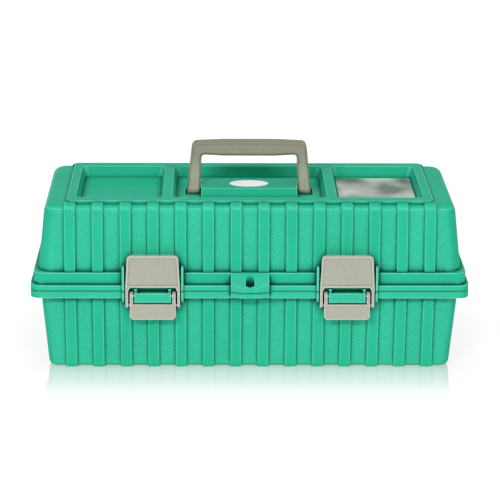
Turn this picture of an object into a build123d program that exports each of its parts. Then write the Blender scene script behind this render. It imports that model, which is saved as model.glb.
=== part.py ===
from build123d import *

import os
from math import atan2, degrees, hypot

# Moulded tool box with a deep ribbed lid, two trays that rise on arms as the lid opens,
# a folding handle and two draw latches. Millimetres. +Z is up and the front faces -Y.
# The origin is the middle of the underside of the base.

# Overall sizes of the two shells
FLANGE_LENGTH = 430.0
FLANGE_DEPTH = 192.0
PARTING_HEIGHT = 83.5
PARTING_GAP = 0.4
LID_HEIGHT = 82.5
WALL = 2.5
CORNER_RADIUS = 10.0

# Base
BASE_TOP_INSET = 9.0
BASE_BOTTOM_INSET = 16.0
BASE_FLANGE_HEIGHT = 7.0
BASE_EDGE_RADIUS = 6.0
FLOOR = 3.0
LIP_HEIGHT = 3.0
LIP_WIDTH = 1.8
LIP_CLEARANCE = 0.7

# Lid
LID_FOOT_INSET = 5.5
LID_TOP_INSET = 14.0
LID_FLANGE_HEIGHT = 5.5
SKIRT_HEIGHT = 12.0
SKIRT_INSET = 3.0
SHOULDER_RADIUS = 8.0
LID_CORNER_RADIUS = 15.0

# Ribs on the front and rear walls
RIB_COUNT = 14
RIB_PITCH = 27.1
RIB_FACE_WIDTH = 9.7
RIB_FOOT_WIDTH = 13.2
RIB_PROUD = 2.4

# Raised frame on the lid and its three recesses
FRAME_RISE = 3.5
FRAME_END_MARGIN = 21.5
FRAME_SIDE_MARGIN = 7.5
FRAME_CORNER = 5.0
FRAME_END_BORDER = 8.5
FRAME_SIDE_BORDER = 13.5
RECESS_DEPTH = 11.0
RECESS_DRAFT = 3.6
RECESS_CORNER = 5.0
CENTRE_RECESS_LENGTH = 152.0
RECESS_DIVIDER = 9.5

# Handle block in the centre recess
BLOCK_LENGTH = 96.0
BLOCK_DROP = 2.4
BLOCK_TOP_DEPTH = 37.0
BLOCK_FOOT_DEPTH = 45.0
BLOCK_END_WALL = 9.0
WELL_DEPTH = 3.0
WELL_HALF_DEPTH = 13.0

# Handle
HANDLE_PIVOT_DROP = 6.4
HANDLE_GAP = 1.6
HANDLE_HEIGHT = 49.1
HANDLE_CROWN = 1.3
HANDLE_CROWN_LENGTH = 52.0
HANDLE_FOOT_WIDTH = 13.2
HANDLE_TOP_LEG_WIDTH = 9.6
HANDLE_LEAN = 2.0
GRIP_THICKNESS = 13.2
GRIP_DEPTH = 16.0
HANDLE_HEEL_RADIUS = 6.0
HANDLE_OUTER_CORNER = 6.0
HANDLE_INNER_CORNER = 3.5
HANDLE_EDGE_CHAMFER = 2.0
HANDLE_PIN_RADIUS = 2.0

# Labels
OVAL_LABEL_LENGTH = 39.0
OVAL_LABEL_DEPTH = 24.0
SHEET_LABEL_END_MARGIN = 1.0
SHEET_LABEL_SIDE_MARGIN = 5.0
LABEL_THICKNESS = 0.4

# Hinge
KNUCKLE_RADIUS = 5.0
KNUCKLE_CLEARANCE = 0.5
KNUCKLE_GAP = 0.4
BASE_KNUCKLE_LENGTH = 26.0
LID_KNUCKLE_LENGTH = 15.0
HINGE_SPACING = 244.8

# Padlock hasp
HASP_LENGTH = 37.2
HASP_NOSE_LENGTH = 15.4
HASP_REACH = 7.5
HASP_SIDE_REACH = 4.1
HASP_NOSE_HEIGHT = 5.0
HASP_BASE_HEIGHT = 4.8
HASP_HOLE_WIDTH = 8.6
HASP_HOLE_FRONT_WALL = 1.3

# Draw latches
LATCH_SPACING = 190.4
CHEEK_THICKNESS = 2.1
CHEEK_PROUD = 1.5
CHEEK_RISE = 24.5
CHEEK_DROP = 12.5
NOTCH_LENGTH = 55.8
LATCH_BACK_GAP = 0.5
CLAW_THICKNESS = 4.2
CLAW_TOP_LENGTH = 49.8
CLAW_FOOT_LENGTH = 53.2
CLAW_FOOT_RISE = 4.4
CLAW_HEIGHT = 31.8
CLAW_CORNER = 3.5
CLAW_BORDER = 1.8
CLAW_PANEL_DEPTH = 0.5
CLAW_LEG_WIDTH = 2.5
CLAW_LEG_RADIUS = 2.7
CLAW_GUSSET = 4.0
CLAW_LIP = 1.2
CLAW_LIP_HEIGHT = 4.0
LEVER_LENGTH = 44.8
LEVER_PLATE_TOP_DROP = 13.1
LEVER_PLATE_HEIGHT = 15.5
LEVER_THICKNESS = 3.8
LEVER_CORNER = 4.0
LEVER_SIDE_WIDTH = 3.1
LEVER_HEEL_RADIUS = 4.8
LEVER_PIVOT_DROP = 5.5
LEVER_PIN_RADIUS = 1.5
CLAW_PIN_BELOW_LEVER_PIN = 9.5
CLAW_PIN_RADIUS = 1.2
LATCH_BLOCK_LENGTH = 35.6
LATCH_BLOCK_TOP_DROP = 1.7
LATCH_BLOCK_HEIGHT = 9.3
LATCH_LUG_LENGTH = 2.4
LATCH_LUG_RISE = 4.0
LATCH_LUG_DEPTH = 5.0
LATCH_SCOOP_DEPTH = 1.2
LATCH_SCOOP_RIM = 1.6

# Trays
TRAY_WALL = 2.0
TRAY_DRAFT = 1.5
TRAY_CORNER = 6.0
TRAY_END_SPACE = 15.5
LOWER_TRAY_REAR_GAP = 7.0
LOWER_TRAY_FRONT_GAP = 10.0
LOWER_TRAY_SINK = 8.0
LOWER_TRAY_HEIGHT = 32.0
LOWER_TRAY_COLUMN_COUNT = 3
LOWER_TRAY_ROW_COUNT = 1
UPPER_TRAY_SETBACK = 22.0
UPPER_TRAY_FRONT_SETBACK = 6.0
UPPER_TRAY_GAP = 2.0
UPPER_TRAY_HEIGHT = 28.0
UPPER_TRAY_COLUMN_COUNT = 4
UPPER_TRAY_ROW_COUNT = 2

# Arms that carry the trays, as distances forward of and above their rear pins
ARM_THICKNESS = 3.0
ARM_RADIUS = 6.0
ARM_SIDE_GAP = 2.0
ARM_PIN_RADIUS = 1.5
ARM_BOSS_RADIUS = 4.0
ARM_RUNNING_GAP = 0.4
RIVET_END_SPACE = 1.2
LOWER_ARM_RISE = 6.0
LOWER_ARM_DROP = 9.0
REAR_ARM_SETBACK = 31.0
ARM_REACH_RATIO = 0.25
ARM_SPACING_RATIO = 0.4
UPPER_ARM_RISE = 12.5
UPPER_ARM_LIFT = 18.5
UPPER_ARM_SETBACK = 43.0
EAR_THICKNESS = 3.0
EAR_GAP = 0.8
EAR_BRIDGE_LIFT = 9.0
EAR_BRIDGE_HEIGHT = 16.0

# Fits and small overlaps that make one moulding of two forms
PIN_CLEARANCE = 0.05
EMBED = 1.0

# Places worked out from the sizes above
LID_BOTTOM = PARTING_HEIGHT + PARTING_GAP
SHOULDER_Z = PARTING_HEIGHT + LID_HEIGHT
FRAME_Z = SHOULDER_Z + FRAME_RISE
RECESS_Z = FRAME_Z - RECESS_DEPTH
BLOCK_Z = FRAME_Z - BLOCK_DROP
SKIRT_Z = LID_BOTTOM + LID_FLANGE_HEIGHT + SKIRT_HEIGHT
LID_FLANGE_Z = LID_BOTTOM + LID_FLANGE_HEIGHT
BASE_FLANGE_Z = PARTING_HEIGHT - BASE_FLANGE_HEIGHT
FRONT_Y = -FLANGE_DEPTH / 2
REAR_Y = FLANGE_DEPTH / 2
SKIRT_FRONT_Y = FRONT_Y + SKIRT_INSET
HINGE_Y = REAR_Y + KNUCKLE_RADIUS + KNUCKLE_CLEARANCE
HINGE_Z = PARTING_HEIGHT
RIB_XS = [(i - (RIB_COUNT - 1) / 2) * RIB_PITCH for i in range(RIB_COUNT)]
FRAME_LENGTH = FLANGE_LENGTH - 2 * (LID_TOP_INSET + FRAME_END_MARGIN)
FRAME_DEPTH = FLANGE_DEPTH - 2 * (LID_TOP_INSET + FRAME_SIDE_MARGIN)
RECESS_FULL_DEPTH = FRAME_DEPTH - 2 * FRAME_SIDE_BORDER
SIDE_RECESS_LENGTH = (FRAME_LENGTH - CENTRE_RECESS_LENGTH) / 2 - RECESS_DIVIDER - FRAME_END_BORDER
SIDE_RECESS_X = CENTRE_RECESS_LENGTH / 2 + RECESS_DIVIDER + SIDE_RECESS_LENGTH / 2
HANDLE_PIVOT_Z = FRAME_Z - HANDLE_PIVOT_DROP
HANDLE_INNER_FOOT_X = BLOCK_LENGTH / 2 + HANDLE_GAP
LATCH_FRONT_Y = SKIRT_FRONT_Y - LATCH_BACK_GAP - CLAW_THICKNESS
LATCH_BACK_Y = SKIRT_FRONT_Y - LATCH_BACK_GAP
LEVER_PIVOT_Y = LATCH_BACK_Y
LEVER_PIVOT_Z = PARTING_HEIGHT - LEVER_PIVOT_DROP
CLAW_PIVOT_Y = LEVER_PIVOT_Y + LATCH_BACK_GAP
CLAW_PIVOT_Z = LEVER_PIVOT_Z - CLAW_PIN_BELOW_LEVER_PIN
TRAY_END_X = FLANGE_LENGTH / 2 - BASE_TOP_INSET - WALL - TRAY_END_SPACE
BASE_INNER_Y = FLANGE_DEPTH / 2 - BASE_TOP_INSET - WALL
LOWER_TRAY_REAR_Y = BASE_INNER_Y - LOWER_TRAY_REAR_GAP
LOWER_TRAY_FRONT_Y = LOWER_TRAY_FRONT_GAP - BASE_INNER_Y
LOWER_TRAY_Z = PARTING_HEIGHT - LOWER_TRAY_SINK
UPPER_TRAY_REAR_Y = LOWER_TRAY_REAR_Y - UPPER_TRAY_SETBACK
UPPER_TRAY_FRONT_Y = LOWER_TRAY_FRONT_Y + UPPER_TRAY_FRONT_SETBACK
UPPER_TRAY_Z = LOWER_TRAY_Z + LOWER_TRAY_HEIGHT + UPPER_TRAY_GAP
LOWER_TRAY_DEPTH = LOWER_TRAY_REAR_Y - LOWER_TRAY_FRONT_Y
LOWER_ARM_REACH = ARM_REACH_RATIO * LOWER_TRAY_DEPTH
UPPER_ARM_REACH = LOWER_ARM_REACH
FRONT_ARM_SPACING = ARM_SPACING_RATIO * LOWER_TRAY_DEPTH
ARM_INNER_X = TRAY_END_X + ARM_SIDE_GAP
ARM_OUTER_X = ARM_INNER_X + ARM_THICKNESS
EAR_INNER_X = ARM_OUTER_X + ARM_RUNNING_GAP + RIVET_END_SPACE + EAR_GAP
EAR_OUTER_X = EAR_INNER_X + EAR_THICKNESS

# Pivot points of the arms as (y, z)
REAR_ARM_FOOT = (BASE_INNER_Y - REAR_ARM_SETBACK, PARTING_HEIGHT - LOWER_ARM_DROP)
FRONT_ARM_FOOT = (REAR_ARM_FOOT[0] - FRONT_ARM_SPACING, REAR_ARM_FOOT[1])
UPPER_ARM_FOOT = (BASE_INNER_Y - UPPER_ARM_SETBACK, PARTING_HEIGHT + UPPER_ARM_LIFT)
LID_TRAY_PIVOT = (
    HINGE_Y - LOWER_ARM_REACH - UPPER_ARM_REACH,
    HINGE_Z + LOWER_ARM_RISE + UPPER_ARM_RISE,
)


def arm_head(foot, reach, rise):
    """The front pin of an arm whose rear pin is at foot."""
    return (foot[0] - reach, foot[1] + rise)


REAR_ARM_HEAD = arm_head(REAR_ARM_FOOT, LOWER_ARM_REACH, LOWER_ARM_RISE)
FRONT_ARM_HEAD = arm_head(FRONT_ARM_FOOT, LOWER_ARM_REACH, LOWER_ARM_RISE)
UPPER_ARM_HEAD = arm_head(UPPER_ARM_FOOT, UPPER_ARM_REACH, UPPER_ARM_RISE)


# Building forms

def tapered_block(low_z, low_size, high_z, high_size, radius, centre=(0, 0)):
    """Solid with drafted flat sides and round corners, from its plan sizes at two heights."""
    draft = [(low - high) / 2 for low, high in zip(low_size, high_size)]
    high_x = (draft[0], draft[0] + high_size[0])
    high_y = (draft[1], draft[1] + high_size[1])
    wedge = Wedge(
        low_size[0], high_z - low_z, low_size[1], high_x[0], high_y[0], high_x[1], high_y[1]
    )
    block = Pos(*centre, (low_z + high_z) / 2) * Rot(90, 0, 0) * wedge
    if radius:
        block = fillet(block.edges().filter_by(lambda edge: abs(edge.tangent_at(0.5).Z) > 0.5), radius)
    return block


def straight_block(low_z, high_z, size, radius):
    """Upright prism on a rounded rectangle."""
    return extrude(Pos(0, 0, low_z) * RectangleRounded(*size, radius), high_z - low_z)


def box_between(x_span, y_span, z_span):
    """Box from its limits along each axis."""
    spans = [sorted(span) for span in (x_span, y_span, z_span)]
    sizes = [high - low for low, high in spans]
    middle = [(low + high) / 2 for low, high in spans]
    return Pos(*middle) * Box(*sizes)


def side_prism(outline, x_span):
    """Prism along X on an outline drawn in the YZ plane."""
    low, high = sorted(x_span)
    return extrude(Plane.YZ.offset(low) * outline, high - low)


def side_polygon(points):
    """Closed outline of straight edges from (y, z) points."""
    return make_face(Polyline(*points, close=True))


def x_rod(x_span, centre, radius):
    """Round bar along X through (y, z)."""
    return side_prism(Pos(*centre) * Circle(radius), x_span)


def front_prism(outline, y_span):
    """Prism along Y on an outline drawn in the XZ plane."""
    low, high = sorted(y_span)
    return extrude(Plane.XZ.offset(-high) * outline, high - low)


def both_ends(solid):
    """A solid and its mirror image at the other end of the box."""
    return [solid, mirror(solid, about=Plane.YZ)]


def flange_size(inset):
    """Plan size of the box, drawn in from the flange all round."""
    return (FLANGE_LENGTH - 2 * inset, FLANGE_DEPTH - 2 * inset)


def lid_inset(z):
    """How far the outside of the lid's drafted wall stands in from the flange."""
    slope = (LID_TOP_INSET - LID_FOOT_INSET) / (SHOULDER_Z - LID_BOTTOM)
    return LID_FOOT_INSET + slope * (z - LID_BOTTOM)


def base_inset(z):
    """The same for the base."""
    slope = (BASE_BOTTOM_INSET - BASE_TOP_INSET) / PARTING_HEIGHT
    return BASE_TOP_INSET + slope * (PARTING_HEIGHT - z)


def shifted_bend(points, distance):
    """A line of two legs, moved sideways to its left by a distance."""
    start, corner, end = [Vector(*point) for point in points]
    sides = [(corner - start).normalized(), (end - corner).normalized()]
    first, second = [Vector(-leg.Y, leg.X) for leg in sides]
    middle = corner + (first + second) * (distance / (1 + first.dot(second)))
    return [start + first * distance, middle, end + second * distance]


def rib_over(points, radius):
    """Rib with drafted sides on a wall that follows two legs and a bend, as (y, z) points."""
    outer = FilletPolyline(*shifted_bend(points, RIB_PROUD), radius=radius + RIB_PROUD)
    inner = FilletPolyline(*shifted_bend(points, -EMBED), radius=radius - EMBED)
    outline = outer + inner + Line(outer @ 0, inner @ 0) + Line(outer @ 1, inner @ 1)
    half = RIB_FOOT_WIDTH / 2
    rib = side_prism(make_face(outline), (-half, half))
    side_draft = (RIB_FOOT_WIDTH - RIB_FACE_WIDTH) / 2
    outer_line = Plane.YZ * outer
    for end in (0, -1):
        flank = rib.faces().filter_by(Axis.X).sort_by(Axis.X)[end]
        reach = flank.center().X
        rims = [
            edge for edge in flank.edges()
            if outer_line.distance_to(edge.center() - Vector(reach, 0, 0)) < PIN_CLEARANCE
        ]
        rib = chamfer(rims, RIB_PROUD, side_draft, reference=flank)
    return rib


def rib_rows(rib):
    """One rib repeated along the front and the rear wall."""
    rear = mirror(rib, about=Plane.XZ)
    return [Pos(x, 0, 0) * side for x in RIB_XS for side in (rib, rear)]


# Details moulded on both shells

def hasp_plan(low_z, high_z):
    """Tapered padlock tab, seen from above, with its root in the flange."""
    half = HASP_LENGTH / 2
    nose = HASP_NOSE_LENGTH / 2
    root = SKIRT_FRONT_Y + EMBED
    outline = Polyline(
        (-half, root),
        (half, root),
        (half, FRONT_Y - HASP_SIDE_REACH),
        (nose, FRONT_Y - HASP_REACH),
        (-nose, FRONT_Y - HASP_REACH),
        (-half, FRONT_Y - HASP_SIDE_REACH),
        close=True,
    )
    return extrude(Pos(0, 0, low_z) * make_face(outline), high_z - low_z)


def hasp_hole():
    """Upright padlock hole, round at the back and straight at the front."""
    radius = HASP_HOLE_WIDTH / 2
    front = FRONT_Y - HASP_REACH + HASP_HOLE_FRONT_WALL
    centre = SKIRT_FRONT_Y - HASP_HOLE_FRONT_WALL - radius
    outline = Pos(0, centre) * Circle(radius)
    outline += Pos(0, (centre + front) / 2) * Rectangle(HASP_HOLE_WIDTH, centre - front)
    return extrude(Pos(0, 0, BASE_FLANGE_Z - EMBED) * outline, SKIRT_Z - BASE_FLANGE_Z + 2 * EMBED)


def latch_xs():
    return (-LATCH_SPACING / 2, LATCH_SPACING / 2)


def cheeks(outline):
    """Guard plates on both sides of both latches, on one side outline."""
    inner = NOTCH_LENGTH / 2
    spans = [(inner, inner + CHEEK_THICKNESS), (-inner - CHEEK_THICKNESS, -inner)]
    return [Pos(x, 0, 0) * side_prism(outline, span) for x in latch_xs() for span in spans]


def flange_notches(depth, z_span):
    """Cuts through the front flange where the latches sit."""
    half = NOTCH_LENGTH / 2
    y_span = (FRONT_Y - HASP_REACH, FRONT_Y + depth)
    return [box_between((x - half, x + half), y_span, z_span) for x in latch_xs()]


def skirt_slots():
    """Deep gaps through the skirt beside each latch claw."""
    high = NOTCH_LENGTH / 2
    low = CLAW_TOP_LENGTH / 2 - EMBED
    y_span = (FRONT_Y - HASP_REACH, FRONT_Y + LID_FOOT_INSET - EMBED / 2)
    slots = both_ends(box_between((low, high), y_span, (LID_BOTTOM - EMBED, SKIRT_Z + EMBED)))
    return [Pos(x, 0, 0) * slot for x in latch_xs() for slot in slots]


def knuckle(x_span, z_span):
    """Hinge barrel on a web that roots it in the rear flange."""
    web = box_between(x_span, (REAR_Y - EMBED, HINGE_Y), z_span)
    return x_rod(x_span, (HINGE_Y, HINGE_Z), KNUCKLE_RADIUS) + web


def hinge_xs():
    return (-HINGE_SPACING / 2, HINGE_SPACING / 2)


def hinge_half_length():
    return BASE_KNUCKLE_LENGTH / 2 + KNUCKLE_GAP + LID_KNUCKLE_LENGTH


def hinge_bores():
    half = hinge_half_length() + EMBED
    radius = ARM_PIN_RADIUS + PIN_CLEARANCE
    return [x_rod((x - half, x + half), (HINGE_Y, HINGE_Z), radius) for x in hinge_xs()]


# Base

def base_latch_block():
    """Block that the latch lever pivots on, with a lug at each end of its top."""
    half = LATCH_BLOCK_LENGTH / 2
    top = PARTING_HEIGHT - LATCH_BLOCK_TOP_DROP
    wall_y = FRONT_Y + base_inset(top) + EMBED
    front = LATCH_FRONT_Y
    block = box_between((-half, half), (wall_y, front), (top - LATCH_BLOCK_HEIGHT, top))
    lug = box_between(
        (half - LATCH_LUG_LENGTH, half),
        (front, front + LATCH_LUG_DEPTH),
        (top - EMBED, top + LATCH_LUG_RISE),
    )
    block += both_ends(lug)
    inner = half - LATCH_LUG_LENGTH
    block -= box_between((-inner, inner), (front + LATCH_SCOOP_RIM, wall_y), (top - LATCH_SCOOP_DEPTH, top))
    return block - x_rod((-half, half), (LEVER_PIVOT_Y, LEVER_PIVOT_Z), LEVER_PIN_RADIUS + PIN_CLEARANCE)


def base_cheek_outline():
    """Side outline of a guard plate below the parting line, rounded underneath."""
    front = FRONT_Y - CHEEK_PROUD
    low = PARTING_HEIGHT - CHEEK_DROP
    wall = FRONT_Y + base_inset(low) + EMBED
    bend = CHEEK_DROP / 2
    return fillet(
        side_polygon([(wall, PARTING_HEIGHT), (front, PARTING_HEIGHT), (front, low), (wall, low)])
        .vertices().group_by(Axis.Z)[0].sort_by(Axis.Y)[0],
        bend,
    )


def base_arm_boss(foot):
    """Boss on the end wall that carries an arm's rear pin."""
    wall = FLANGE_LENGTH / 2 - base_inset(foot[1]) - WALL + EMBED
    start = ARM_OUTER_X + ARM_RUNNING_GAP
    boss = x_rod((start, wall), foot, ARM_BOSS_RADIUS)
    return boss - x_rod((start, wall), foot, ARM_PIN_RADIUS + PIN_CLEARANCE)


def base_rib():
    """Rib that comes round the bottom edge of the base and climbs its wall to the flange."""
    corner = FRONT_Y + BASE_BOTTOM_INSET
    top_z = BASE_FLANGE_Z + EMBED
    start = (corner + 2 * BASE_EDGE_RADIUS, 0)
    end = (FRONT_Y + base_inset(top_z), top_z)
    return rib_over([start, (corner, 0), end], BASE_EDGE_RADIUS)


def make_base():
    shell = tapered_block(
        0, flange_size(BASE_BOTTOM_INSET), PARTING_HEIGHT, flange_size(BASE_TOP_INSET), CORNER_RADIUS
    )
    shell = fillet(shell.faces().sort_by(Axis.Z)[0].edges(), BASE_EDGE_RADIUS)
    shell += straight_block(BASE_FLANGE_Z, PARTING_HEIGHT, flange_size(0), CORNER_RADIUS)
    shell += rib_rows(base_rib())
    shell -= straight_block(-RIB_PROUD, 0, flange_size(0), CORNER_RADIUS)
    shell += hasp_plan(PARTING_HEIGHT - HASP_BASE_HEIGHT, PARTING_HEIGHT)
    notch_depth = base_inset(PARTING_HEIGHT) - EMBED
    shell -= flange_notches(notch_depth, (BASE_FLANGE_Z - EMBED, PARTING_HEIGHT + EMBED))
    shell += [Pos(x, 0, 0) * base_latch_block() for x in latch_xs()]
    shell += cheeks(base_cheek_outline())
    lip_inset = LID_FOOT_INSET + WALL + LIP_CLEARANCE
    lip_z = (PARTING_HEIGHT - EMBED, PARTING_HEIGHT + LIP_HEIGHT)
    lip_corner = LID_CORNER_RADIUS - WALL
    lip = straight_block(*lip_z, flange_size(lip_inset), lip_corner)
    lip -= straight_block(*lip_z, flange_size(lip_inset + LIP_WIDTH), lip_corner - LIP_WIDTH)
    cavity = tapered_block(
        FLOOR,
        flange_size(base_inset(FLOOR) + WALL),
        PARTING_HEIGHT,
        flange_size(BASE_TOP_INSET + WALL),
        CORNER_RADIUS - WALL,
    )
    shell = shell - cavity + lip
    half = BASE_KNUCKLE_LENGTH / 2
    knuckle_z = (HINGE_Z - KNUCKLE_RADIUS, HINGE_Z)
    shell += [knuckle((x - half, x + half), knuckle_z) for x in hinge_xs()]
    shell -= hinge_bores()
    shell -= hasp_hole()
    for foot in (REAR_ARM_FOOT, FRONT_ARM_FOOT):
        shell += both_ends(base_arm_boss(foot))
    return shell


# Lid

def lid_rib():
    """Rib that climbs the lid wall, bends over the shoulder and ends at the frame."""
    corner = (FRONT_Y + LID_TOP_INSET, SHOULDER_Z)
    start = (FRONT_Y + lid_inset(SKIRT_Z - EMBED), SKIRT_Z - EMBED)
    end = (-FRAME_DEPTH / 2 + EMBED, SHOULDER_Z)
    return rib_over([start, corner, end], SHOULDER_RADIUS)


def recess(length, x, grow=0.0):
    """Drafted recess of the lid's top, or the moulding round it when grown."""
    top = (length + 2 * grow, RECESS_FULL_DEPTH + 2 * grow)
    low = tuple(size - 2 * RECESS_DRAFT for size in top)
    return tapered_block(RECESS_Z - grow, low, FRAME_Z, top, 0 if grow else RECESS_CORNER, (x, 0))


def recesses(grow=0.0):
    return [
        recess(CENTRE_RECESS_LENGTH, 0, grow),
        recess(SIDE_RECESS_LENGTH, SIDE_RECESS_X, grow),
        recess(SIDE_RECESS_LENGTH, -SIDE_RECESS_X, grow),
    ]


def leg_wells(grow=0.0):
    """Pockets in the recess floor that the feet of the handle swing in."""
    low = BLOCK_LENGTH / 2 - grow
    high = BLOCK_LENGTH / 2 + HANDLE_FOOT_WIDTH + 2 * HANDLE_GAP + grow
    half = WELL_HALF_DEPTH + grow
    depth = WELL_DEPTH + grow
    return both_ends(box_between((low, high), (-half, half), (RECESS_Z - depth, RECESS_Z + EMBED)))


def handle_block():
    """Hollow block between the handle's legs, with drafted front and rear faces."""
    def section(inset, low, top):
        return side_polygon([
            (-BLOCK_FOOT_DEPTH / 2 + inset, low),
            (BLOCK_FOOT_DEPTH / 2 - inset, low),
            (BLOCK_TOP_DEPTH / 2 - inset, top - inset),
            (-BLOCK_TOP_DEPTH / 2 + inset, top - inset),
        ])

    half = BLOCK_LENGTH / 2
    hollow_half = half - BLOCK_END_WALL
    floor = RECESS_Z - WALL
    block = side_prism(section(0, floor, BLOCK_Z), (-half, half))
    return block - side_prism(section(WALL, floor, BLOCK_Z), (-hollow_half, hollow_half))


def handle_pin_span():
    start = BLOCK_LENGTH / 2 - BLOCK_END_WALL
    return (start, BLOCK_LENGTH / 2 + HANDLE_GAP + HANDLE_FOOT_WIDTH - WALL)


def lid_cheek_outline():
    """Side outline of a guard plate above the parting line, rounded on top."""
    front = FRONT_Y - CHEEK_PROUD
    high = LID_BOTTOM + CHEEK_RISE
    wall = FRONT_Y + lid_inset(high) + EMBED
    plate = side_polygon([(wall, LID_BOTTOM), (front, LID_BOTTOM), (front, high), (wall, high)])
    return fillet(plate.vertices().group_by(Axis.Z)[-1].sort_by(Axis.Y)[0], wall - front - 2 * EMBED)


def lid_hasp():
    """Padlock tab of the lid, sloping down from the top of the skirt."""
    nose_z = LID_BOTTOM + HASP_NOSE_HEIGHT
    nose_y = FRONT_Y - HASP_REACH
    root = SKIRT_FRONT_Y + EMBED
    slope = side_polygon([
        (root, LID_BOTTOM), (nose_y, LID_BOTTOM), (nose_y, nose_z), (SKIRT_FRONT_Y, SKIRT_Z), (root, SKIRT_Z)
    ])
    return hasp_plan(LID_BOTTOM, SKIRT_Z) & side_prism(slope, (-HASP_LENGTH / 2, HASP_LENGTH / 2))


def lid_tray_boss():
    """Boss on the end wall that the upper tray hangs from."""
    wall = FLANGE_LENGTH / 2 - lid_inset(LID_TRAY_PIVOT[1]) - WALL + EMBED
    span = (EAR_OUTER_X + ARM_RUNNING_GAP, wall)
    boss = x_rod(span, LID_TRAY_PIVOT, ARM_BOSS_RADIUS)
    return boss - x_rod(span, LID_TRAY_PIVOT, ARM_PIN_RADIUS + PIN_CLEARANCE)


def make_lid():
    shell = tapered_block(
        LID_BOTTOM, flange_size(LID_FOOT_INSET), SHOULDER_Z, flange_size(LID_TOP_INSET), LID_CORNER_RADIUS
    )
    shell = fillet(shell.faces().sort_by(Axis.Z)[-1].edges(), SHOULDER_RADIUS)
    shell += straight_block(LID_BOTTOM, LID_FLANGE_Z, flange_size(0), CORNER_RADIUS)
    shell += straight_block(LID_BOTTOM, SKIRT_Z, flange_size(SKIRT_INSET), CORNER_RADIUS)
    shell += straight_block(SHOULDER_Z - EMBED, FRAME_Z, (FRAME_LENGTH, FRAME_DEPTH), FRAME_CORNER)
    shell += rib_rows(lid_rib())
    shell += lid_hasp()
    shell -= flange_notches(LID_FOOT_INSET - EMBED, (LID_BOTTOM - EMBED, LID_FLANGE_Z))
    shell -= skirt_slots()
    shell += cheeks(lid_cheek_outline())
    roof = SHOULDER_Z - WALL
    cavity = tapered_block(
        LID_BOTTOM,
        flange_size(LID_FOOT_INSET + WALL),
        roof,
        flange_size(lid_inset(roof) + WALL),
        LID_CORNER_RADIUS - WALL,
    )
    cavity = chamfer(cavity.faces().sort_by(Axis.Z)[-1].edges(), SHOULDER_RADIUS / 2)
    cavity -= recesses(WALL) + leg_wells(WALL)
    shell = shell - cavity - recesses()
    shell += handle_block()
    shell -= leg_wells()
    shell -= hasp_hole()
    pin = x_rod(handle_pin_span(), (0, HANDLE_PIVOT_Z), HANDLE_PIN_RADIUS + PIN_CLEARANCE)
    shell -= both_ends(pin)
    shell += both_ends(lid_tray_boss())
    half = BASE_KNUCKLE_LENGTH / 2 + KNUCKLE_GAP
    spans = [(half, half + LID_KNUCKLE_LENGTH), (-half - LID_KNUCKLE_LENGTH, -half)]
    knuckle_z = (LID_BOTTOM, HINGE_Z + KNUCKLE_RADIUS)
    shell += [knuckle((x + low, x + high), knuckle_z) for x in hinge_xs() for low, high in spans]
    return shell - hinge_bores()


# Handle

def make_handle():
    """Bail handle: two leaning legs and a slightly crowned grip."""
    pivot = HANDLE_PIVOT_Z
    foot = pivot - HANDLE_HEEL_RADIUS
    top = pivot + HANDLE_HEIGHT
    inner_foot = HANDLE_INNER_FOOT_X
    outer_foot = inner_foot + HANDLE_FOOT_WIDTH
    inner_top = inner_foot - HANDLE_LEAN
    outer_top = inner_top + HANDLE_TOP_LEG_WIDTH
    shoulder = top - HANDLE_CROWN
    under = top - GRIP_THICKNESS
    crown = HANDLE_CROWN_LENGTH / 2
    half_outline = [
        (crown, top), (outer_top, shoulder), (outer_foot, foot),
        (inner_foot, foot), (inner_top, under), (crown, under - HANDLE_CROWN),
    ]
    other_half = [(-x, z) for x, z in reversed(half_outline)]
    face = make_face(Polyline(*half_outline, *other_half, close=True))
    for corner, radius in (((outer_top, shoulder), HANDLE_OUTER_CORNER), ((inner_top, under), HANDLE_INNER_CORNER)):
        ends = face.vertices().filter_by(lambda v: hypot(abs(v.X) - corner[0], v.Y - corner[1]) < EMBED)
        face = fillet(ends, radius)
    bail = front_prism(face, (-GRIP_DEPTH / 2, GRIP_DEPTH / 2))
    bail = chamfer(bail.faces().filter_by(Axis.Y).edges(), HANDLE_EDGE_CHAMFER)
    half = GRIP_DEPTH / 2
    heel = HANDLE_HEEL_RADIUS
    waist = under - HANDLE_INNER_CORNER
    side = Polyline((-heel, pivot), (-half, waist), (-half, top), (half, top), (half, waist), (heel, pivot))
    side += ThreePointArc((heel, pivot), (0, foot), (-heel, pivot))
    bail &= side_prism(make_face(side), (-outer_foot, outer_foot))
    bore = x_rod(handle_pin_span(), (0, pivot), HANDLE_PIN_RADIUS + PIN_CLEARANCE)
    return bail - both_ends(bore)


def make_handle_pins():
    start, end = handle_pin_span()
    return both_ends(x_rod((start, end - EMBED), (0, HANDLE_PIVOT_Z), HANDLE_PIN_RADIUS))


# Labels

def make_oval_label():
    oval = Pos(0, 0, BLOCK_Z) * Ellipse(OVAL_LABEL_LENGTH / 2, OVAL_LABEL_DEPTH / 2)
    return extrude(oval, LABEL_THICKNESS)


def make_sheet_label():
    length = SIDE_RECESS_LENGTH - 2 * (RECESS_DRAFT + SHEET_LABEL_END_MARGIN)
    depth = RECESS_FULL_DEPTH - 2 * (RECESS_DRAFT + SHEET_LABEL_SIDE_MARGIN)
    sheet = Pos(SIDE_RECESS_X, 0, RECESS_Z) * Rectangle(length, depth)
    return extrude(sheet, LABEL_THICKNESS)


# Hinge pins

def make_hinge_pins():
    half = hinge_half_length()
    return [x_rod((x - half, x + half), (HINGE_Y, HINGE_Z), ARM_PIN_RADIUS) for x in hinge_xs()]


# Draw latch, built on the middle plane and copied to both places

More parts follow.
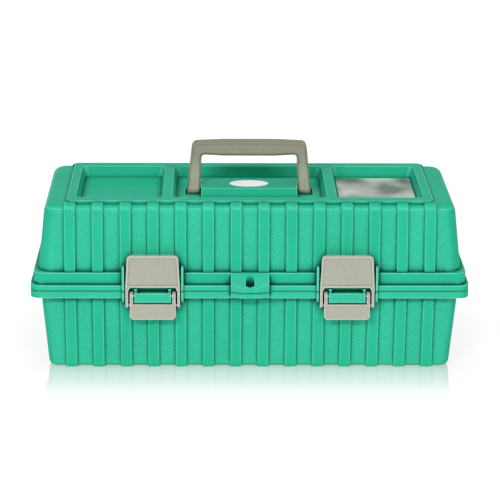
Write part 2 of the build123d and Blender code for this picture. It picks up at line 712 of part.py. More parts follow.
def make_claw():
    """Upper plate of the latch with two legs that hang beside the lever."""
    foot_z = LID_BOTTOM + CLAW_FOOT_RISE - PARTING_GAP
    top_z = foot_z + CLAW_HEIGHT
    half_top = CLAW_TOP_LENGTH / 2
    half_foot = CLAW_FOOT_LENGTH / 2

    def plate_outline(border):
        outline = make_face(Polyline(
            (-half_foot + border, foot_z + border),
            (half_foot - border, foot_z + border),
            (half_top - border, top_z - border),
            (-half_top + border, top_z - border),
            close=True,
        ))
        return fillet(outline.vertices().group_by(Axis.Y)[-1], CLAW_CORNER - border / 2)

    claw = front_prism(plate_outline(0), (LATCH_FRONT_Y, LATCH_BACK_Y))
    claw -= front_prism(plate_outline(CLAW_BORDER), (LATCH_FRONT_Y, LATCH_FRONT_Y + CLAW_PANEL_DEPTH))
    leg_inner = half_foot - CLAW_LEG_WIDTH
    leg_span = (leg_inner, half_foot)
    pivot = (CLAW_PIVOT_Y, CLAW_PIVOT_Z)
    back = CLAW_PIVOT_Y + CLAW_LEG_RADIUS
    side = side_polygon([
        (LATCH_FRONT_Y, foot_z + EMBED), (LATCH_BACK_Y, foot_z + EMBED), (LATCH_BACK_Y, LEVER_PIVOT_Z),
        (back, CLAW_PIVOT_Z), (LATCH_FRONT_Y, CLAW_PIVOT_Z),
    ])
    leg = side_prism(side, leg_span) + x_rod(leg_span, pivot, CLAW_LEG_RADIUS)
    gusset = make_face(Polyline(
        (leg_inner, foot_z), (leg_inner - CLAW_GUSSET / 2, foot_z), (leg_inner, foot_z - CLAW_GUSSET), close=True
    ))
    leg += front_prism(gusset, (LATCH_FRONT_Y, LATCH_BACK_Y))
    leg -= x_rod(leg_span, pivot, CLAW_PIN_RADIUS + PIN_CLEARANCE)
    lip_half = half_top - CLAW_CORNER
    lip_y = (LATCH_BACK_Y, LATCH_BACK_Y + CLAW_LIP)
    claw += box_between((-lip_half, lip_half), lip_y, (top_z - CLAW_LIP_HEIGHT, top_z))
    return claw + both_ends(leg)


def make_lever():
    """Lower plate of the latch with two sides that reach up to its pivot."""
    half = LEVER_LENGTH / 2
    plate_top = PARTING_HEIGHT - LEVER_PLATE_TOP_DROP
    plate_low = plate_top - LEVER_PLATE_HEIGHT
    plate = make_face(Polyline(
        (-half, plate_top), (-half, plate_low), (half, plate_low), (half, plate_top), close=True
    ))
    plate = fillet(plate.vertices().group_by(Axis.Y)[0], LEVER_CORNER)
    lever = front_prism(plate, (LATCH_FRONT_Y, LATCH_FRONT_Y + LEVER_THICKNESS))
    side_span = (half - LEVER_SIDE_WIDTH, half)
    pivot = (LEVER_PIVOT_Y, LEVER_PIVOT_Z)
    back = LEVER_PIVOT_Y + LEVER_HEEL_RADIUS
    side = side_polygon([
        (LATCH_FRONT_Y, LEVER_PIVOT_Z), (back, LEVER_PIVOT_Z), (back, CLAW_PIVOT_Z - CLAW_LEG_RADIUS),
        (LATCH_FRONT_Y + LEVER_THICKNESS, plate_low + LEVER_CORNER), (LATCH_FRONT_Y, plate_low + LEVER_CORNER),
    ])
    arm = side_prism(side, side_span) + x_rod(side_span, pivot, LEVER_HEEL_RADIUS)
    lever += both_ends(arm)
    lever -= both_ends(x_rod(side_span, pivot, LEVER_PIN_RADIUS + PIN_CLEARANCE))
    claw_bore = x_rod(side_span, (CLAW_PIVOT_Y, CLAW_PIVOT_Z), CLAW_PIN_RADIUS + PIN_CLEARANCE)
    return lever - both_ends(claw_bore)


def make_lever_pin():
    half = LEVER_LENGTH / 2
    return x_rod((-half, half), (LEVER_PIVOT_Y, LEVER_PIVOT_Z), LEVER_PIN_RADIUS)


def make_claw_pins():
    span = (LEVER_LENGTH / 2 - LEVER_SIDE_WIDTH, CLAW_FOOT_LENGTH / 2)
    return both_ends(x_rod(span, (CLAW_PIVOT_Y, CLAW_PIVOT_Z), CLAW_PIN_RADIUS))


# Trays

def tray(rear_y, front_y, low_z, height, columns, rows):
    """Open tray with drafted sides and moulded partitions between its cells."""
    depth = rear_y - front_y
    centre = (0, (rear_y + front_y) / 2)
    top = (2 * TRAY_END_X, depth)
    foot = tuple(size - 2 * TRAY_DRAFT for size in top)
    body = tapered_block(low_z, foot, low_z + height, top, TRAY_CORNER, centre)
    pitch_x = (foot[0] - TRAY_WALL) / columns
    pitch_y = (foot[1] - TRAY_WALL) / rows
    floor = (pitch_x - TRAY_WALL - TRAY_DRAFT, pitch_y - TRAY_WALL - TRAY_DRAFT)
    mouth = (pitch_x - TRAY_WALL, pitch_y - TRAY_WALL)
    for column in range(columns):
        for row in range(rows):
            x = (column - (columns - 1) / 2) * pitch_x
            y = centre[1] + (row - (rows - 1) / 2) * pitch_y
            body -= tapered_block(low_z + TRAY_WALL, floor, low_z + height, mouth, 0, (x, y))
    return body


def tray_boss(pivot):
    """Pad on the tray's end that an arm turns on, with the bore for its rivet."""
    root = TRAY_END_X - TRAY_DRAFT - TRAY_WALL / 2
    pad = x_rod((root, ARM_INNER_X - ARM_RUNNING_GAP), pivot, ARM_BOSS_RADIUS)
    return both_ends(pad)


def tray_bore(pivot):
    span = (TRAY_END_X - TRAY_DRAFT - TRAY_WALL, ARM_INNER_X)
    return both_ends(x_rod(span, pivot, ARM_PIN_RADIUS + PIN_CLEARANCE))


def make_lower_tray():
    body = tray(
        LOWER_TRAY_REAR_Y, LOWER_TRAY_FRONT_Y, LOWER_TRAY_Z, LOWER_TRAY_HEIGHT,
        LOWER_TRAY_COLUMN_COUNT, LOWER_TRAY_ROW_COUNT,
    )
    for pivot in (REAR_ARM_HEAD, FRONT_ARM_HEAD, UPPER_ARM_FOOT):
        body = body + tray_boss(pivot) - tray_bore(pivot)
    return body


def hanging_ear():
    """Ear that reaches out over the arm and down to the pin in the lid's end wall."""
    y, z = LID_TRAY_PIVOT
    bridge_low = UPPER_TRAY_Z + EAR_BRIDGE_LIFT
    bridge_high = bridge_low + EAR_BRIDGE_HEIGHT
    span = (EAR_INNER_X, EAR_OUTER_X)
    side = (y - ARM_RADIUS, y + ARM_RADIUS)
    root = TRAY_END_X - TRAY_DRAFT - TRAY_WALL / 2
    ear = box_between((root, EAR_OUTER_X), side, (bridge_low, bridge_high))
    ear += box_between(span, side, (z, bridge_high))
    ear += x_rod(span, LID_TRAY_PIVOT, ARM_RADIUS)
    return ear - x_rod(span, LID_TRAY_PIVOT, ARM_PIN_RADIUS + PIN_CLEARANCE)


def make_upper_tray():
    body = tray(
        UPPER_TRAY_REAR_Y, UPPER_TRAY_FRONT_Y, UPPER_TRAY_Z, UPPER_TRAY_HEIGHT,
        UPPER_TRAY_COLUMN_COUNT, UPPER_TRAY_ROW_COUNT,
    )
    body += both_ends(hanging_ear())
    return body + tray_boss(UPPER_ARM_HEAD) - tray_bore(UPPER_ARM_HEAD)


# Arms and their rivets

def arm(foot, reach, rise):
    """Flat arm with round ends and a bore at each."""
    length = hypot(reach, rise)
    angle = degrees(atan2(rise, -reach))
    head = arm_head(foot, reach, rise)
    middle = Pos((foot[0] + head[0]) / 2, (foot[1] + head[1]) / 2)
    span = (ARM_INNER_X, ARM_OUTER_X)
    bar = side_prism(middle * Rot(0, 0, angle) * SlotCenterToCenter(length, 2 * ARM_RADIUS), span)
    for pivot in (foot, head):
        bar -= x_rod(span, pivot, ARM_PIN_RADIUS + PIN_CLEARANCE)
    return bar


def outer_rivet(pivot):
    """Rivet set in a tray's end and standing out through the arm."""
    start = TRAY_END_X - TRAY_DRAFT - TRAY_WALL / 2
    return x_rod((start, ARM_OUTER_X + RIVET_END_SPACE), pivot, ARM_PIN_RADIUS)


def inner_rivet(pivot):
    """Rivet set in the base's boss and standing in through the arm."""
    end = FLANGE_LENGTH / 2 - base_inset(pivot[1]) - WALL - EMBED
    return x_rod((ARM_INNER_X - RIVET_END_SPACE, end), pivot, ARM_PIN_RADIUS)


def make_lid_tray_pins():
    end = FLANGE_LENGTH / 2 - lid_inset(LID_TRAY_PIVOT[1]) - WALL - EMBED
    start = EAR_INNER_X - ARM_RUNNING_GAP / 2
    return both_ends(x_rod((start, end), LID_TRAY_PIVOT, ARM_PIN_RADIUS))


def at_latches(shape):
    """Left and right copies of a latch piece."""
    pieces = shape if isinstance(shape, list) else [shape]
    return [[Pos(x, 0, 0) * piece for piece in pieces] for x in latch_xs()]


def all_parts():
    parts = {
        "base": make_base(),
        "lid": make_lid(),
        "handle": make_handle(),
        "handle_pins": make_handle_pins(),
        "oval_label": make_oval_label(),
        "sheet_label": make_sheet_label(),
        "hinge_pins": make_hinge_pins(),
        "lower_tray": make_lower_tray(),
        "upper_tray": make_upper_tray(),
        "lid_tray_pins": make_lid_tray_pins(),
    }
    arms = {
        "rear_lower_arm": arm(REAR_ARM_FOOT, LOWER_ARM_REACH, LOWER_ARM_RISE),
        "front_lower_arm": arm(FRONT_ARM_FOOT, LOWER_ARM_REACH, LOWER_ARM_RISE),
        "upper_arm": arm(UPPER_ARM_FOOT, UPPER_ARM_REACH, UPPER_ARM_RISE),
    }
    for name, right in arms.items():
        parts[name + "_right"], parts[name + "_left"] = both_ends(right)
    latch = {"latch_lever": make_lever(), "latch_claw": make_claw(), "claw_pins": make_claw_pins()}
    for name, shape in latch.items():
        parts[name + "_left"], parts[name + "_right"] = at_latches(shape)
    parts["lever_pins"] = sum(at_latches(make_lever_pin()), [])
    base_pivots = (REAR_ARM_FOOT, FRONT_ARM_FOOT)
    lower_pivots = (REAR_ARM_HEAD, FRONT_ARM_HEAD, UPPER_ARM_FOOT)
    parts["base_arm_rivets"] = sum((both_ends(inner_rivet(p)) for p in base_pivots), [])
    parts["lower_tray_rivets"] = sum((both_ends(outer_rivet(p)) for p in lower_pivots), [])
    parts["upper_tray_rivets"] = both_ends(outer_rivet(UPPER_ARM_HEAD))
    return parts


def write_parts():
    os.makedirs("parts", exist_ok=True)
    for name, shape in all_parts().items():
        solids = shape if isinstance(shape, list) else [shape]
        whole = solids[0] if len(solids) == 1 else Compound(children=solids)
        export_step(whole, f"parts/{name}.step")


write_parts()
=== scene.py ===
import math

import bpy
from mathutils import Matrix, Vector

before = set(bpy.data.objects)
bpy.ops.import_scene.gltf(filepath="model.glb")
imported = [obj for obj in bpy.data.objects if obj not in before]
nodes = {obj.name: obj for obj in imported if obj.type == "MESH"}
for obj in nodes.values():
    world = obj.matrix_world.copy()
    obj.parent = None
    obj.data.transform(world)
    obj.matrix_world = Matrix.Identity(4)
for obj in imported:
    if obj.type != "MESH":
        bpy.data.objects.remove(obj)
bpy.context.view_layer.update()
scene = bpy.context.scene

# Places on the box, in metres. A pair tells where a mask begins and where it ends.
LATCH_X = 0.0952
PARTING_Z = 0.0837
BESIDE_LATCH_X = (0.0205, 0.0225)
BEHIND_LATCH_Y = (-0.085, -0.088)
RIM_Y = (-0.0940, -0.0955)
HASP_Y = (-0.0900, -0.0920)
HASP_WEB_X = (0.0035, 0.0050)
SHOULDER_Z = (0.12, 0.14)
HANDLE_FOOT_Z = (0.200, 0.178)
OFF_WALL = (0.0010, 0.0018)
RIM_LINE = (0.0004, 0.0009)
RIM_PLAIN_EDGE = (0.0009, 0.0014)

# Each shell's drafted wall: its distance from the middle at floor level, and its slope
LID_WALL = (0.0992, -0.1035)
BASE_WALL = (0.0800, 0.0838)

# How far painted shade reaches from a corner or into a gap, in metres
CORNER_REACH = 0.0090
CREASE_REACH = 0.0032
SHELL_GAP_REACH = 0.0140
LATCH_GAP_REACH = 0.0060

# Parts of a normal, without sign: where a face starts and ends to count as turned that way
SIDEWAYS_X = (0.25, 0.60)
UPRIGHT_Z = (0.5, 0.8)
RIM_UPRIGHT_Z = (0.80, 0.95)
TOP_Z = (0.5, 0.9)
SHOULDER_START_Z = (0.36, 0.52)
SHOULDER_END_Z = (0.62, 0.85)

WHITE = (1.0, 1.0, 1.0, 1.0)
# Near-black colour of the painted shadow beside the latches
PAINTED_GAP_SHADOW = (0.002, 0.026, 0.016)
SENSOR_MM = 36.0
PHOTO_PX = 500


# Small helpers for node graphs

def new_material(name):
    material = bpy.data.materials.new(name)
    material.use_nodes = True
    tree = material.node_tree
    shader = tree.nodes["Principled BSDF"]
    return material, tree, shader


def link(tree, source, target):
    tree.links.new(source, target)


def object_coords(tree):
    return tree.nodes.new("ShaderNodeTexCoord").outputs["Object"]


def surface_normal(tree):
    """The normal in the piece's own frame."""
    return tree.nodes.new("ShaderNodeTexCoord").outputs["Normal"]


def noise(tree, scale, detail=2.0, roughness=0.5, stretch=None):
    node = tree.nodes.new("ShaderNodeTexNoise")
    node.inputs["Scale"].default_value = scale
    node.inputs["Detail"].default_value = detail
    node.inputs["Roughness"].default_value = roughness
    coords = object_coords(tree)
    if stretch:
        mapping = tree.nodes.new("ShaderNodeMapping")
        mapping.inputs["Scale"].default_value = stretch
        link(tree, coords, mapping.inputs["Vector"])
        coords = mapping.outputs["Vector"]
    link(tree, coords, node.inputs["Vector"])
    return node.outputs["Fac"]


def ramp(tree, value, start, end, first, last):
    """A colour that goes from first to last as the value goes from start to end."""
    node = tree.nodes.new("ShaderNodeValToRGB")
    stops = ((start, first), (end, last))
    for element, (position, colour) in zip(node.color_ramp.elements, stops):
        element.position = position
        element.color = (*colour, 1.0)
    link(tree, value, node.inputs["Fac"])
    return node.outputs["Color"]


def mix_colours(tree, factor, first, second):
    node = tree.nodes.new("ShaderNodeMix")
    node.data_type = "RGBA"
    link(tree, factor, node.inputs[0])
    for socket, value in ((node.inputs[6], first), (node.inputs[7], second)):
        if isinstance(value, tuple):
            socket.default_value = (*value, 1.0)
        else:
            link(tree, value, socket)
    return node.outputs[2]


def math_node(tree, operation, first, second=None):
    node = tree.nodes.new("ShaderNodeMath")
    node.operation = operation
    for socket, value in zip(node.inputs, (first, second)):
        if isinstance(value, (int, float)):
            socket.default_value = value
        elif value is not None:
            link(tree, value, socket)
    return node.outputs[0]


def times(tree, first, second):
    return math_node(tree, "MULTIPLY", first, second)


def larger(tree, first, second):
    return math_node(tree, "MAXIMUM", first, second)


def one_minus(tree, value):
    return math_node(tree, "SUBTRACT", 1.0, value)


def distance_from(tree, value, place):
    return math_node(tree, "ABSOLUTE", math_node(tree, "SUBTRACT", value, place))


def band(tree, value, start, end, low, high):
    """A value that goes from low to high as the given one goes from start to end."""
    node = tree.nodes.new("ShaderNodeMapRange")
    settings = {"From Min": start, "From Max": end, "To Min": low, "To Max": high}
    for name, number in settings.items():
        node.inputs[name].default_value = number
    link(tree, value, node.inputs["Value"])
    return node.outputs["Result"]


def spread(tree, value, low, high):
    """A noise value, most of which lies between 0.3 and 0.7, spread over a range."""
    return band(tree, value, 0.3, 0.7, low, high)


def split(tree, vector):
    node = tree.nodes.new("ShaderNodeSeparateXYZ")
    link(tree, vector, node.inputs["Vector"])
    return [node.outputs[axis] for axis in "XYZ"]


def split_size(tree, vector):
    """The sizes of a vector's parts along X, Y and Z, without their signs."""
    return [math_node(tree, "ABSOLUTE", part) for part in split(tree, vector)]


def bump(tree, height, strength, distance, before=None):
    node = tree.nodes.new("ShaderNodeBump")
    node.inputs["Strength"].default_value = strength
    node.inputs["Distance"].default_value = distance
    link(tree, height, node.inputs["Height"])
    if before:
        link(tree, before, node.inputs["Normal"])
    return node.outputs["Normal"]


# Masks that say where a surface is scuffed, and where painted shade and painted highlights go

def corner_mask(tree, distance, inside, open_at, closed_at, most, alone=True):
    """Painted shade in creases, or scuffed outer edges with painted edge light when inside is
    True.

    0 on flats, up to most at a corner. Other pieces count when alone is False.
    """
    node = tree.nodes.new("ShaderNodeAmbientOcclusion")
    node.samples = 8
    node.inside = inside
    node.only_local = alone
    node.inputs["Distance"].default_value = distance
    return band(tree, node.outputs["AO"], open_at, closed_at, 0.0, most)


def facing(tree):
    return split_size(tree, surface_normal(tree))


def grained(tree, at_floor, slope):
    """1 on the drafted front and back walls, less on the ribs proud of them and elsewhere."""
    _, depth, height = split_size(tree, object_coords(tree))
    wall = math_node(tree, "ADD", times(tree, height, slope), at_floor)
    return band(tree, distance_from(tree, depth, wall), *OFF_WALL, 1.0, 0.2)


def sideways(tree):
    """1 on faces turned left or right, such as the flanks of ribs, less on the others."""
    return band(tree, facing(tree)[0], *SIDEWAYS_X, 0.24, 1.0)


def front_rim(tree, start, end, most):
    """Most on what stands further forward than end, 0 on what lies behind start."""
    return band(tree, split(tree, object_coords(tree))[1], start, end, 0.0, most)


def beside_latches(tree):
    """1 on upright faces at the front rim, beside the latches, 0 on the latch blocks."""
    across = split_size(tree, object_coords(tree))[0]
    off = distance_from(tree, across, LATCH_X)
    beside = times(tree, band(tree, off, *BESIDE_LATCH_X, 0.0, 1.0),
                   front_rim(tree, *BEHIND_LATCH_Y, 1.0))
    return times(tree, beside, band(tree, facing(tree)[2], *UPRIGHT_Z, 1.0, 0.0))


def off_the_hasp(tree):
    """0 on the thin web under the padlock hole, 1 elsewhere."""
    across = split_size(tree, object_coords(tree))[0]
    return larger(tree, band(tree, across, *HASP_WEB_X, 0.0, 1.0),
                  one_minus(tree, front_rim(tree, *HASP_Y, 1.0)))


def rim_edge(tree, near, far):
    """1 on the upright faces beside the line where lid and base meet, 0 elsewhere."""
    height = split_size(tree, object_coords(tree))[2]
    off = distance_from(tree, height, PARTING_Z)
    upright = band(tree, facing(tree)[2], *RIM_UPRIGHT_Z, 1.0, 0.0)
    return times(tree, band(tree, off, near, far, 1.0, 0.0), upright)


def painted_shoulder_highlight(tree, most):
    """Painted highlight on the lid's rounded shoulder, where it leans back about 30 degrees."""
    lean = split(tree, surface_normal(tree))[2]
    shoulder_highlight = times(tree, band(tree, lean, *SHOULDER_START_Z, 0.0, most),
                   band(tree, lean, *SHOULDER_END_Z, 1.0, 0.0))
    height = split_size(tree, object_coords(tree))[2]
    return times(tree, shoulder_highlight, band(tree, height, *SHOULDER_Z, 0.3, 1.0))


# Materials

def handle_tint_and_painted_light(tree, tint, foot, wear_and_painted_light):
    """The handle's colour: paler feet as painted light, and a darker top as painted shade."""
    height = split_size(tree, object_coords(tree))[2]
    tint = mix_colours(tree, band(tree, height, *HANDLE_FOOT_Z, 0.0, 0.95), tint, foot)
    return mix_colours(tree, band(tree, facing(tree)[2], *TOP_Z, 0.0, 0.32), tint, wear_and_painted_light)


def shell_flecks_and_highlight(tree, flecks_and_highlight, wall):
    """Flecks on the walls alone, with a painted highlight on the shoulder and front rim."""
    flecks_and_highlight = times(tree, flecks_and_highlight, grained(tree, *wall))
    flecks_and_highlight = larger(tree, flecks_and_highlight, painted_shoulder_highlight(tree, 0.34))
    # Paler front rim: a painted highlight
    return larger(tree, flecks_and_highlight, front_rim(tree, *RIM_Y, 0.13))


def shell_edge_wear_and_light(tree, edge_wear_and_light):
    """Scuffed edges with painted edge light, left off the web of the hasp and the line where lid
    and base meet.
    """
    edge_wear_and_light = times(tree, edge_wear_and_light, off_the_hasp(tree))
    return times(tree, edge_wear_and_light, one_minus(tree, rim_edge(tree, *RIM_PLAIN_EDGE)))


def shell_gap_shade(tree, colour, painted_shade):
    """Painted shadow in the narrow spaces beside the latches, and a painted shade line where lid
    and base meet.
    """
    gaps = corner_mask(tree, SHELL_GAP_REACH, False, 0.84, 0.46, 0.94, False)
    colour = mix_colours(tree, times(tree, gaps, beside_latches(tree)), colour, PAINTED_GAP_SHADOW)
    return mix_colours(tree, times(tree, rim_edge(tree, *RIM_LINE), 0.8), colour, painted_shade)


def latch_gap_shade(tree, colour, gap):
    """Painted shade on the flanks where the plates of a latch lie close together."""
    gaps = corner_mask(tree, LATCH_GAP_REACH, False, 0.90, 0.50, 1.0, False)
    return mix_colours(tree, times(tree, gaps, sideways(tree)), colour, gap)


def moulded_plastic(name, dark, light, wear_and_painted_light, painted_shade, rough, specular, edge,
                    wall=None, gap=None, foot=None):
    """Moulded plastic: uneven tint, satin grain, faint flow waves, scuffed edges with painted
    edge light, and painted shade in corners and creases.
    """
    material, tree, shader = new_material(name)
    tint = ramp(tree, noise(tree, 11.0, 3.0, 0.55), 0.32, 0.68, dark, light)
    flecks_and_highlight = spread(tree, noise(tree, 420.0, 2.0, 0.6), 0.03, 0.22)
    # Outer edges take the edge colour: scuffing with painted edge light, paler on the green,
    # latches and trays, a darker painted edge shade on the handle
    edge_wear_and_light = corner_mask(tree, edge, True, 0.985, 0.78, 1.0)
    if foot:
        tint = handle_tint_and_painted_light(tree, tint, foot, wear_and_painted_light)
    if wall:
        flecks_and_highlight = shell_flecks_and_highlight(tree, flecks_and_highlight, wall)
        edge_wear_and_light = shell_edge_wear_and_light(tree, edge_wear_and_light)
    # Flecks of grain in the edge colour, and on the shells the painted highlights of shoulder
    # and front rim
    colour = mix_colours(tree, flecks_and_highlight, tint, wear_and_painted_light)
    colour = mix_colours(tree, edge_wear_and_light, colour, wear_and_painted_light)
    # Painted shade in corners and under overhangs
    corners = corner_mask(tree, CORNER_REACH, False, 0.88, 0.28, 0.96)
    colour = mix_colours(tree, corners, colour, painted_shade)
    # Painted shadow beside the latches and a painted shade line at the parting
    if wall:
        colour = shell_gap_shade(tree, colour, painted_shade)
    # Painted shade between latch plates
    if gap:
        colour = latch_gap_shade(tree, colour, gap)
    # Painted shade in tight creases, strongest on the flanks of ribs
    creases = corner_mask(tree, CREASE_REACH, False, 0.97, 0.78, 1.0)
    colour = mix_colours(tree, times(tree, creases, sideways(tree)), colour, painted_shade)
    link(tree, colour, shader.inputs["Base Color"])
    sheen = spread(tree, noise(tree, 70.0, 4.0), rough - 0.05, rough + 0.06)
    link(tree, sheen, shader.inputs["Roughness"])
    shader.inputs["Specular IOR Level"].default_value = specular
    waves = bump(tree, noise(tree, 26.0, 1.0), 0.5, 0.00025)
    fine = bump(tree, noise(tree, 2200.0, 2.0), 0.35, 0.00004, waves)
    link(tree, fine, shader.inputs["Normal"])
    return material


def brushed_steel(name, dark, light):
    material, tree, shader = new_material(name)
    streaks = noise(tree, 60.0, 3.0, 0.6, (1.0, 40.0, 40.0))
    link(tree, ramp(tree, streaks, 0.3, 0.7, dark, light), shader.inputs["Base Color"])
    link(tree, spread(tree, streaks, 0.26, 0.42), shader.inputs["Roughness"])
    shader.inputs["Metallic"].default_value = 1.0
    link(tree, bump(tree, streaks, 0.25, 0.00003), shader.inputs["Normal"])
    return material


def film(name, dark, light, rough, metallic, specular, grain_scale, stretch, waves, coat):
    """Thin label film: soft mottling, a fine grain and a slight ripple."""
    material, tree, shader = new_material(name)
    cloud = noise(tree, 26.0, 1.5, 0.5, stretch)
    link(tree, ramp(tree, cloud, 0.37, 0.63, dark, light), shader.inputs["Base Color"])
    sheen = spread(tree, noise(tree, 90.0, 3.0), rough - 0.05, rough + 0.08)
    link(tree, sheen, shader.inputs["Roughness"])
    shader.inputs["Metallic"].default_value = metallic
    shader.inputs["Specular IOR Level"].default_value = specular
    shader.inputs["Coat Weight"].default_value = coat
    ripple = bump(tree, noise(tree, 30.0, 1.5), waves, 0.0004)
    fine = bump(tree, noise(tree, grain_scale, 2.0), 0.2, 0.00003, ripple)
    link(tree, fine, shader.inputs["Normal"])
    return material


# In each plastic the darkest colour is painted shade for corners and creases, and the edge
# colour serves flecks, scuffed edges and painted edge light
GREEN = {
    "dark": (0.021, 0.452, 0.268), "light": (0.025, 0.502, 0.301),
    "wear_and_painted_light": (0.150, 0.760, 0.570), "painted_shade": (0.004, 0.100, 0.056),
    "rough": 0.32, "specular": 0.007, "edge": 0.0009,
}
LID_GREEN = moulded_plastic("lid_green_plastic", **GREEN, wall=LID_WALL)
BASE_GREEN = moulded_plastic("base_green_plastic", **GREEN, wall=BASE_WALL)
# Handle: the pale colour for the feet is painted light, and the dark edge colour is painted
# shade on its top and edges
HANDLE_GREY = moulded_plastic(
    "handle_grey_plastic", dark=(0.315, 0.303, 0.239), light=(0.365, 0.350, 0.278),
    wear_and_painted_light=(0.17, 0.155, 0.115), painted_shade=(0.08, 0.075, 0.055),
    rough=0.30, specular=0.02, edge=0.0020, foot=(0.58, 0.545, 0.445),
)
# Latch: its gap colour is painted shade between the plates
LATCH_GREY = moulded_plastic(
    "latch_grey_plastic", dark=(0.36, 0.365, 0.302), light=(0.40, 0.406, 0.338),
    wear_and_painted_light=(0.62, 0.62, 0.54), painted_shade=(0.11, 0.11, 0.085),
    rough=0.42, specular=0.2, edge=0.0010, gap=(0.012, 0.012, 0.010),
)
TRAY_GREY = moulded_plastic(
    "tray_grey_plastic", dark=(0.36, 0.37, 0.31), light=(0.42, 0.43, 0.36),
    wear_and_painted_light=(0.52, 0.53, 0.46), painted_shade=(0.18, 0.18, 0.15),
    rough=0.5, specular=0.3, edge=0.0008,
)
STEEL = brushed_steel("brushed_steel", (0.36, 0.36, 0.35), (0.60, 0.60, 0.59))
WHITE_FILM = film(
    "white_film", dark=(0.94, 0.925, 0.915), light=(0.98, 0.965, 0.955),
    rough=0.16, metallic=0.0, specular=1.0, grain_scale=1500.0,
    stretch=(1.0, 1.0, 1.0), waves=0.15, coat=1.0,
)
# The silver film's wide dark-to-light mottling is a painted reflection
SILVER_FILM = film(
    "silver_film", dark=(0.15, 0.185, 0.155), light=(0.73, 0.79, 0.70),
    rough=0.46, metallic=0.15, specular=0.25, grain_scale=900.0,
    stretch=(1.0, 0.7, 1.0), waves=0.12, coat=0.0,
)

# Pieces that are not named here are steel pins, rivets and arms
finishes = {
    "base": BASE_GREEN, "lid": LID_GREEN, "handle": HANDLE_GREY,
    "latch_claw_left": LATCH_GREY, "latch_claw_right": LATCH_GREY,
    "latch_lever_left": LATCH_GREY, "latch_lever_right": LATCH_GREY,
    "lower_tray": TRAY_GREY, "upper_tray": TRAY_GREY,
    "oval_label": WHITE_FILM, "sheet_label": SILVER_FILM,
}
for name, node in nodes.items():
    node.data.materials.clear()
    node.data.materials.append(finishes.get(name, STEEL))


# Rounded edges, by their width in metres

EDGE_WIDTHS = {"lid": 0.0006, "base": 0.0006, "handle": 0.0020,
               "upper_tray": 0.0005, "lower_tray": 0.0005}
PAIRED_EDGE_WIDTHS = {"latch_claw": 0.0004, "latch_lever": 0.0005, "rear_lower_arm": 0.0004,
                      "front_lower_arm": 0.0004, "upper_arm": 0.0004}


def round_edges(name, width, segments=2, angle=30.0):
    node = nodes[name]
    weld = node.modifiers.new("weld", "WELD")
    weld.merge_threshold = 0.00001
    edge = node.modifiers.new("edge", "BEVEL")
    edge.width = width
    edge.segments = segments
    edge.limit_method = "ANGLE"
    edge.angle_limit = math.radians(angle)
    edge.harden_normals = True
    edge.use_clamp_overlap = True


for name, width in EDGE_WIDTHS.items():
    round_edges(name, width)
for name, width in PAIRED_EDGE_WIDTHS.items():
    for side in ("left", "right"):
        round_edges(f"{name}_{side}", width)


# Camera at the photo's viewing angle

def place_camera(position, yaw, pitch, roll, focal_px):
    yaw, pitch, roll = (math.radians(angle) for angle in (yaw, pitch, roll))
    level = math.cos(pitch)
    forward = Vector((math.sin(yaw) * level, math.cos(yaw) * level, -math.sin(pitch)))
    right = forward.cross(Vector((0, 0, 1))).normalized()
    up = right.cross(forward)
    across = right * math.cos(roll) + up * math.sin(roll)
    upward = up * math.cos(roll) - right * math.sin(roll)
    data = bpy.data.cameras.new("camera")
    data.sensor_width = SENSOR_MM
    data.lens = focal_px / PHOTO_PX * SENSOR_MM
    data.clip_end = 20.0
    camera = bpy.data.objects.new("camera", data)
    scene.collection.objects.link(camera)
    turn = Matrix((across, upward, -forward)).transposed().to_4x4()
    camera.matrix_world = Matrix.Translation(position) @ turn
    scene.camera = camera


place_camera((-0.0380, -2.1465, 0.7398), 1.054, 16.665, 0.367, 2200.0)


# Light, floor and background

def area_light(name, position, target, size, watts):
    data = bpy.data.lights.new(name, "AREA")
    data.shape = "RECTANGLE"
    data.size, data.size_y = size
    data.energy = watts
    lamp = bpy.data.objects.new(name, data)
    scene.collection.objects.link(lamp)
    aim = Vector(target) - Vector(position)
    turn = aim.to_track_quat("-Z", "Y").to_matrix().to_4x4()
    lamp.matrix_world = Matrix.Translation(position) @ turn


area_light("left_key", (-1.00, -2.05, 1.50), (0.0, 0.0, 0.1), (0.90, 0.22), 27.0)
area_light("right_key", (1.00, -2.05, 1.50), (0.0, 0.0, 0.1), (0.90, 0.22), 15.0)


def seen_by_eye(tree):
    """1 for rays that show the background itself: camera, glossy and transmission rays."""
    path = tree.nodes.new("ShaderNodeLightPath").outputs
    mirrored = larger(tree, path["Is Camera Ray"], path["Is Glossy Ray"])
    return larger(tree, mirrored, path["Is Transmission Ray"])


def make_world(horizon, zenith):
    """White for rays that see it, a sky brighter overhead for the light it gives."""
    world = bpy.data.worlds.new("studio")
    world.use_nodes = True
    tree = world.node_tree
    background = tree.nodes["Background"]
    background.inputs["Color"].default_value = WHITE
    height = split(tree, tree.nodes.new("ShaderNodeTexCoord").outputs["Generated"])[2]
    sky = band(tree, times(tree, height, height), 0.0, 1.0, horizon, zenith)
    level = tree.nodes.new("ShaderNodeMapRange")
    level.inputs["To Max"].default_value = 1.0
    link(tree, sky, level.inputs["To Min"])
    link(tree, seen_by_eye(tree), level.inputs["Value"])
    link(tree, level.outputs["Result"], background.inputs["Strength"])
    scene.world = world


make_world(0.10, 0.95)


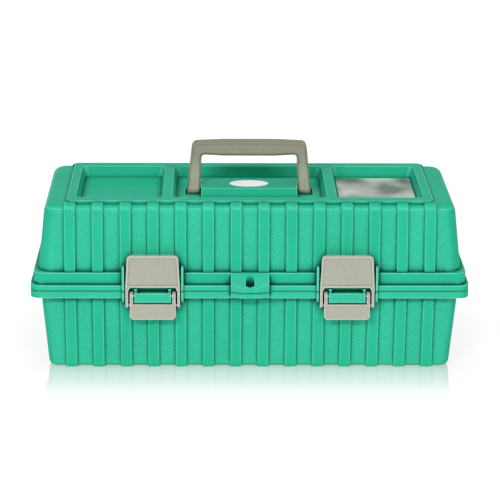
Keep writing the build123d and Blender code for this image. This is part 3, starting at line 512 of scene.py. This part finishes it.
def near_footprint(tree, footprint, fade):
    """1 under the box, falling to 0 at the fade distance from it."""
    place = split(tree, tree.nodes.new("ShaderNodeNewGeometry").outputs["Position"])
    squares = []
    for part, reach in zip(place, footprint):
        beyond = math_node(tree, "SUBTRACT", math_node(tree, "ABSOLUTE", part), reach)
        gap = larger(tree, beyond, 0.0)
        squares.append(times(tree, gap, gap))
    distance = math_node(tree, "SQRT", math_node(tree, "ADD", *squares))
    left = one_minus(tree, math_node(tree, "DIVIDE", distance, fade))
    return math_node(tree, "POWER", larger(tree, left, 0.0), 0.75)


def make_floor(half, footprint, fade, mirror):
    """White floor that keeps a soft shadow and mirrors the foot of the box, fading from it."""
    corners = [(-half, -half, 0), (half, -half, 0), (half, half, 0), (-half, half, 0)]
    mesh = bpy.data.meshes.new("floor")
    mesh.from_pydata(corners, [], [(0, 1, 2, 3)])
    floor = bpy.data.objects.new("floor", mesh)
    floor.location.z = -0.0002
    scene.collection.objects.link(floor)
    material, tree, shader = new_material("floor_white")
    tree.nodes.remove(shader)
    glow = tree.nodes.new("ShaderNodeEmission")
    glow.inputs["Color"].default_value = WHITE
    link(tree, band(tree, seen_by_eye(tree), 0.0, 1.0, 0.70, 0.88), glow.inputs["Strength"])
    matt = tree.nodes.new("ShaderNodeBsdfDiffuse")
    matt.inputs["Color"].default_value = (0.36, 0.36, 0.36, 1.0)
    lit = tree.nodes.new("ShaderNodeAddShader")
    link(tree, glow.outputs[0], lit.inputs[0])
    link(tree, matt.outputs[0], lit.inputs[1])
    gloss = tree.nodes.new("ShaderNodeBsdfGlossy")
    gloss.inputs["Roughness"].default_value = 0.06
    blend = tree.nodes.new("ShaderNodeMixShader")
    share = near_footprint(tree, footprint, fade)
    link(tree, times(tree, share, mirror), blend.inputs["Fac"])
    link(tree, lit.outputs[0], blend.inputs[1])
    link(tree, gloss.outputs[0], blend.inputs[2])
    link(tree, blend.outputs[0], tree.nodes["Material Output"].inputs["Surface"])
    mesh.materials.append(material)


make_floor(6.0, (0.199, 0.080), 0.100, 0.56)

scene.view_settings.view_transform = "Standard"
